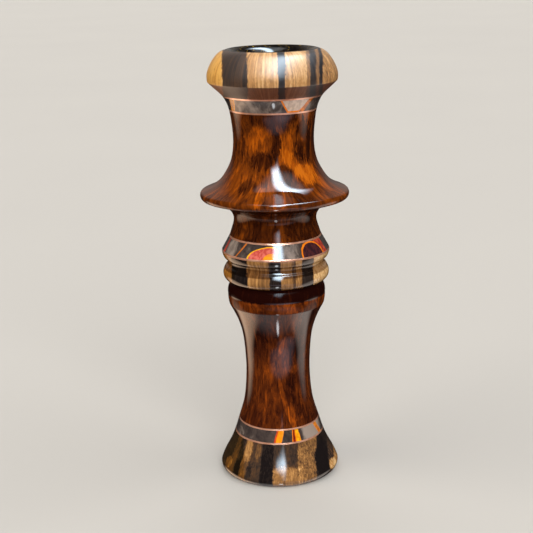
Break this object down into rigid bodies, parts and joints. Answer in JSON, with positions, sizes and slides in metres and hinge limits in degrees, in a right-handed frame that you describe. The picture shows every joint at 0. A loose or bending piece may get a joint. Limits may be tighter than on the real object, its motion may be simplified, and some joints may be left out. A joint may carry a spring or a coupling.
{
  "type": "duck call",
  "caption": "Turned wooden duck call: a flanged barrel with a bell mouth plugs onto a waisted insert that holds a double-reed toneboard.",
  "frame": {"origin": "centre of the flat face at the exhaust end, which the call stands on", "axes": "+Z along the turning axis, from the exhaust end up to the mouth. -Y is the side that the reeds face."},
  "size_m": [0.046, 0.046, 0.135],
  "materials": {
    "mouthpiece_cap": "gloss",
    "mouth_spacer_upper": "polished",
    "mouth_band": "gloss",
    "mouth_spacer_lower": "polished",
    "barrel_body": "gloss",
    "collar_spacer_upper": "polished",
    "collar_band": "gloss",
    "collar_spacer_lower": "polished",
    "lanyard_collar": "gloss",
    "insert_body": "gloss",
    "tail_spacer_upper": "polished",
    "tail_band": "gloss",
    "tail_spacer_lower": "polished",
    "tail_cap": "gloss",
    "toneboard": "satin",
    "front_o_ring": "satin",
    "rear_o_ring": "satin",
    "long_reed": "satin",
    "short_reed": "satin",
    "cork_wedge": "matte"
  },
  "bodies": {
    "insert": {"insert_body": "insert_body", "tail_spacer_upper": "tail_spacer_upper", "tail_band": "tail_band", "tail_spacer_lower": "tail_spacer_lower", "tail_cap": "tail_cap", "toneboard": "toneboard"},
    "seals": {"front_o_ring": "front_o_ring", "rear_o_ring": "rear_o_ring"},
    "barrel": {"mouthpiece_cap": "mouthpiece_cap", "mouth_spacer_upper": "mouth_spacer_upper", "mouth_band": "mouth_band", "mouth_spacer_lower": "mouth_spacer_lower", "barrel_body": "barrel_body", "collar_spacer_upper": "collar_spacer_upper", "collar_band": "collar_band", "collar_spacer_lower": "collar_spacer_lower", "lanyard_collar": "lanyard_collar"},
    "reeds": {"long_reed": "long_reed", "short_reed": "short_reed"},
    "wedge": {"cork_wedge": "cork_wedge"}
  },
  "joints": [
    {"name": "barrel_turn", "type": "hinge", "parent": "insert", "child": "seals", "pos_m": [0, 0, 0.07325], "axis": [0, 0, 1], "continuous": true},
    {"name": "barrel_pull", "type": "slide", "parent": "seals", "child": "barrel", "axis": [0, 0, 1], "range_m": [0, 0.062]},
    {"name": "reed_flex", "type": "hinge", "parent": "insert", "child": "reeds", "pos_m": [0, -0.00188, 0.097], "axis": [1, 0, 0], "range_deg": [-3, 1], "stiffness_Nm_per_rad": 0.01, "deforming": ["long_reed", "short_reed"]},
    {"name": "wedge_pull", "type": "slide", "parent": "insert", "child": "wedge", "axis": [0, 0, 1], "range_m": [0, 0.013]}
  ]
}
